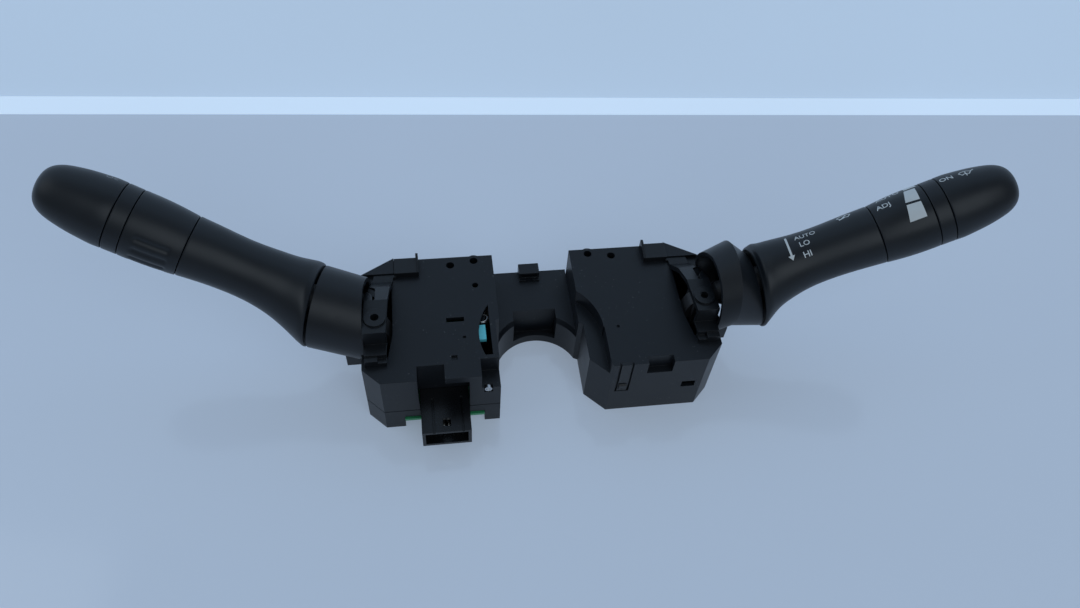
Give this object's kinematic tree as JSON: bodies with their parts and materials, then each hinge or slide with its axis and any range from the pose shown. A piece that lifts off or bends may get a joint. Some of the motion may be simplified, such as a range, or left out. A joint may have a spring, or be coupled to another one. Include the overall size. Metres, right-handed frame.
{
  "type": "combination stalk switch",
  "caption": "Steering column switch with lamp and wiper stalks in domed collars, boxed housings joined by a saddle, bracketed pivots and a front connector.",
  "frame": {"origin": "on the steering column's axis, level with the underside of both housings", "axes": "+Z along the column towards the driver, +X towards the wiper stalk, +Y towards the top of the car"},
  "size_m": [0.4278, 0.0958, 0.1126],
  "materials": {
    "housing_plastic": "fine-grained black plastic",
    "cover_plastic": "satin black plastic",
    "bracket_plastic": "satin dark grey plastic",
    "stalk_plastic": "soft matt charcoal plastic",
    "collar_plastic": "satin black plastic",
    "connector_plastic": "smooth black plastic",
    "mechanism_plastic": "dark grey plastic",
    "pawl_plastic": "cyan plastic",
    "board": "green laminate",
    "contact_plate": "brown laminate with contact strips",
    "tin": "tinned contact",
    "steel": "plated steel",
    "cable": "flat cable"
  },
  "bodies": {
    "base": {"left_housing": "housing_plastic", "right_housing": "housing_plastic", "left_base_plate": "cover_plastic", "right_base_plate": "cover_plastic", "column_bridge": "housing_plastic", "bridge_clip": "cover_plastic", "bridge_flat_cable": "cable", "left_pivot_bracket": "bracket_plastic", "right_pivot_bracket": "bracket_plastic", "left_collar": "collar_plastic", "right_collar": "collar_plastic", "circuit_board": "board", "connector_housing": "connector_plastic", "connector_pins": "tin", "turn_contact_plate": "contact_plate", "wiper_contact_plate": "contact_plate", "turn_detent_track": "mechanism_plastic", "wiper_detent_track": "mechanism_plastic", "cover_clip": "bracket_plastic", "cover_screws": "steel", "front_screw": "steel"},
    "turn_carrier": {"turn_carrier": "mechanism_plastic", "left_cross_pin": "steel"},
    "left_stalk": {"left_stalk_core": "mechanism_plastic", "left_lever": "stalk_plastic", "left_index_ring": "stalk_plastic", "turn_detent_spring": "steel"},
    "fog_sleeve": {"fog_lamp_sleeve": "stalk_plastic"},
    "lamp_knob": {"lamp_knob": "stalk_plastic"},
    "turn_plunger": {"turn_detent_plunger": "steel"},
    "turn_slider": {"turn_contact_slider": "mechanism_plastic"},
    "cancel_pawl": {"cancel_pawl": "bracket_plastic", "cancel_pad": "pawl_plastic", "cancel_spring": "steel"},
    "wiper_carrier": {"wiper_carrier": "mechanism_plastic", "right_cross_pin": "steel"},
    "right_stalk": {"right_stalk_core": "mechanism_plastic", "right_lever": "stalk_plastic", "right_index_ring": "stalk_plastic", "wiper_detent_spring": "steel"},
    "rain_sleeve": {"rain_adjust_sleeve": "stalk_plastic"},
    "rear_knob": {"rear_wiper_knob": "stalk_plastic"},
    "wiper_plunger": {"wiper_detent_plunger": "steel"},
    "wiper_slider": {"wiper_contact_slider": "mechanism_plastic"}
  },
  "joints": [
    {"name": "turn_swing", "type": "hinge", "parent": "base", "child": "turn_carrier", "pos_m": [-0.077, 0.011, 0.0395], "axis": [0, 0, -1], "range_deg": [-12.6, 0]},
    {"name": "beam_rock", "type": "hinge", "parent": "turn_carrier", "child": "left_stalk", "pos_m": [-0.077, 0.011, 0.0395], "axis": [0.2672, 0.9636, 0], "range_deg": [-4, 5], "stiffness_Nm_per_rad": 1.2},
    {"name": "lamp_knob_turn", "type": "hinge", "parent": "left_stalk", "child": "lamp_knob", "pos_m": [-0.077, 0.011, 0.0395], "axis": [-0.8698, 0.2412, 0.4305], "range_deg": [0, 90]},
    {"name": "fog_sleeve_turn", "type": "hinge", "parent": "left_stalk", "child": "fog_sleeve", "pos_m": [-0.077, 0.011, 0.0395], "axis": [-0.8698, 0.2412, 0.4305], "range_deg": [-25, 25]},
    {"name": "turn_plunger_slide", "type": "slide", "parent": "left_stalk", "child": "turn_plunger", "axis": [0.9636, -0.2672, 0], "range_m": [-0.0012, 0], "stiffness_N_per_m": 400},
    {"name": "turn_slider_slide", "type": "slide", "parent": "base", "child": "turn_slider", "axis": [0, 1, 0], "range_m": [-0.0002, 0.0046]},
    {"name": "cancel_pawl_swing", "type": "hinge", "parent": "base", "child": "cancel_pawl", "pos_m": [-0.0272, 0.0126, 0.034], "axis": [0, 0, 1], "range_deg": [-6, 6], "stiffness_Nm_per_rad": 0.02},
    {"name": "wiper_swing", "type": "hinge", "parent": "base", "child": "wiper_carrier", "pos_m": [0.077, 0.011, 0.0395], "axis": [0, 0, 1], "range_deg": [-5.4, 16.2]},
    {"name": "washer_pull", "type": "hinge", "parent": "wiper_carrier", "child": "right_stalk", "pos_m": [0.077, 0.011, 0.0395], "axis": [0.0506, -0.9987, 0], "range_deg": [0, 5], "stiffness_Nm_per_rad": 1.2, "springref_deg": -171.89},
    {"name": "rear_knob_turn", "type": "hinge", "parent": "right_stalk", "child": "rear_knob", "pos_m": [0.077, 0.011, 0.0395], "axis": [0.9014, 0.0457, 0.4305], "range_deg": [-30, 60]},
    {"name": "rain_sleeve_turn", "type": "hinge", "parent": "right_stalk", "child": "rain_sleeve", "pos_m": [0.077, 0.011, 0.0395], "axis": [0.9014, 0.0457, 0.4305], "range_deg": [-25, 25]},
    {"name": "wiper_plunger_slide", "type": "slide", "parent": "right_stalk", "child": "wiper_plunger", "axis": [-0.9987, -0.0506, 0], "range_m": [-0.0012, 0], "stiffness_N_per_m": 400},
    {"name": "wiper_slider_slide", "type": "slide", "parent": "base", "child": "wiper_slider", "axis": [0, 1, 0], "range_m": [-0.0058, 0.0021]}
  ],
  "couplings": [
    {"joint": "turn_slider_slide", "follows": "turn_swing", "m_per_rad": -0.0199},
    {"joint": "wiper_slider_slide", "follows": "wiper_swing", "m_per_rad": -0.0199}
  ]
}
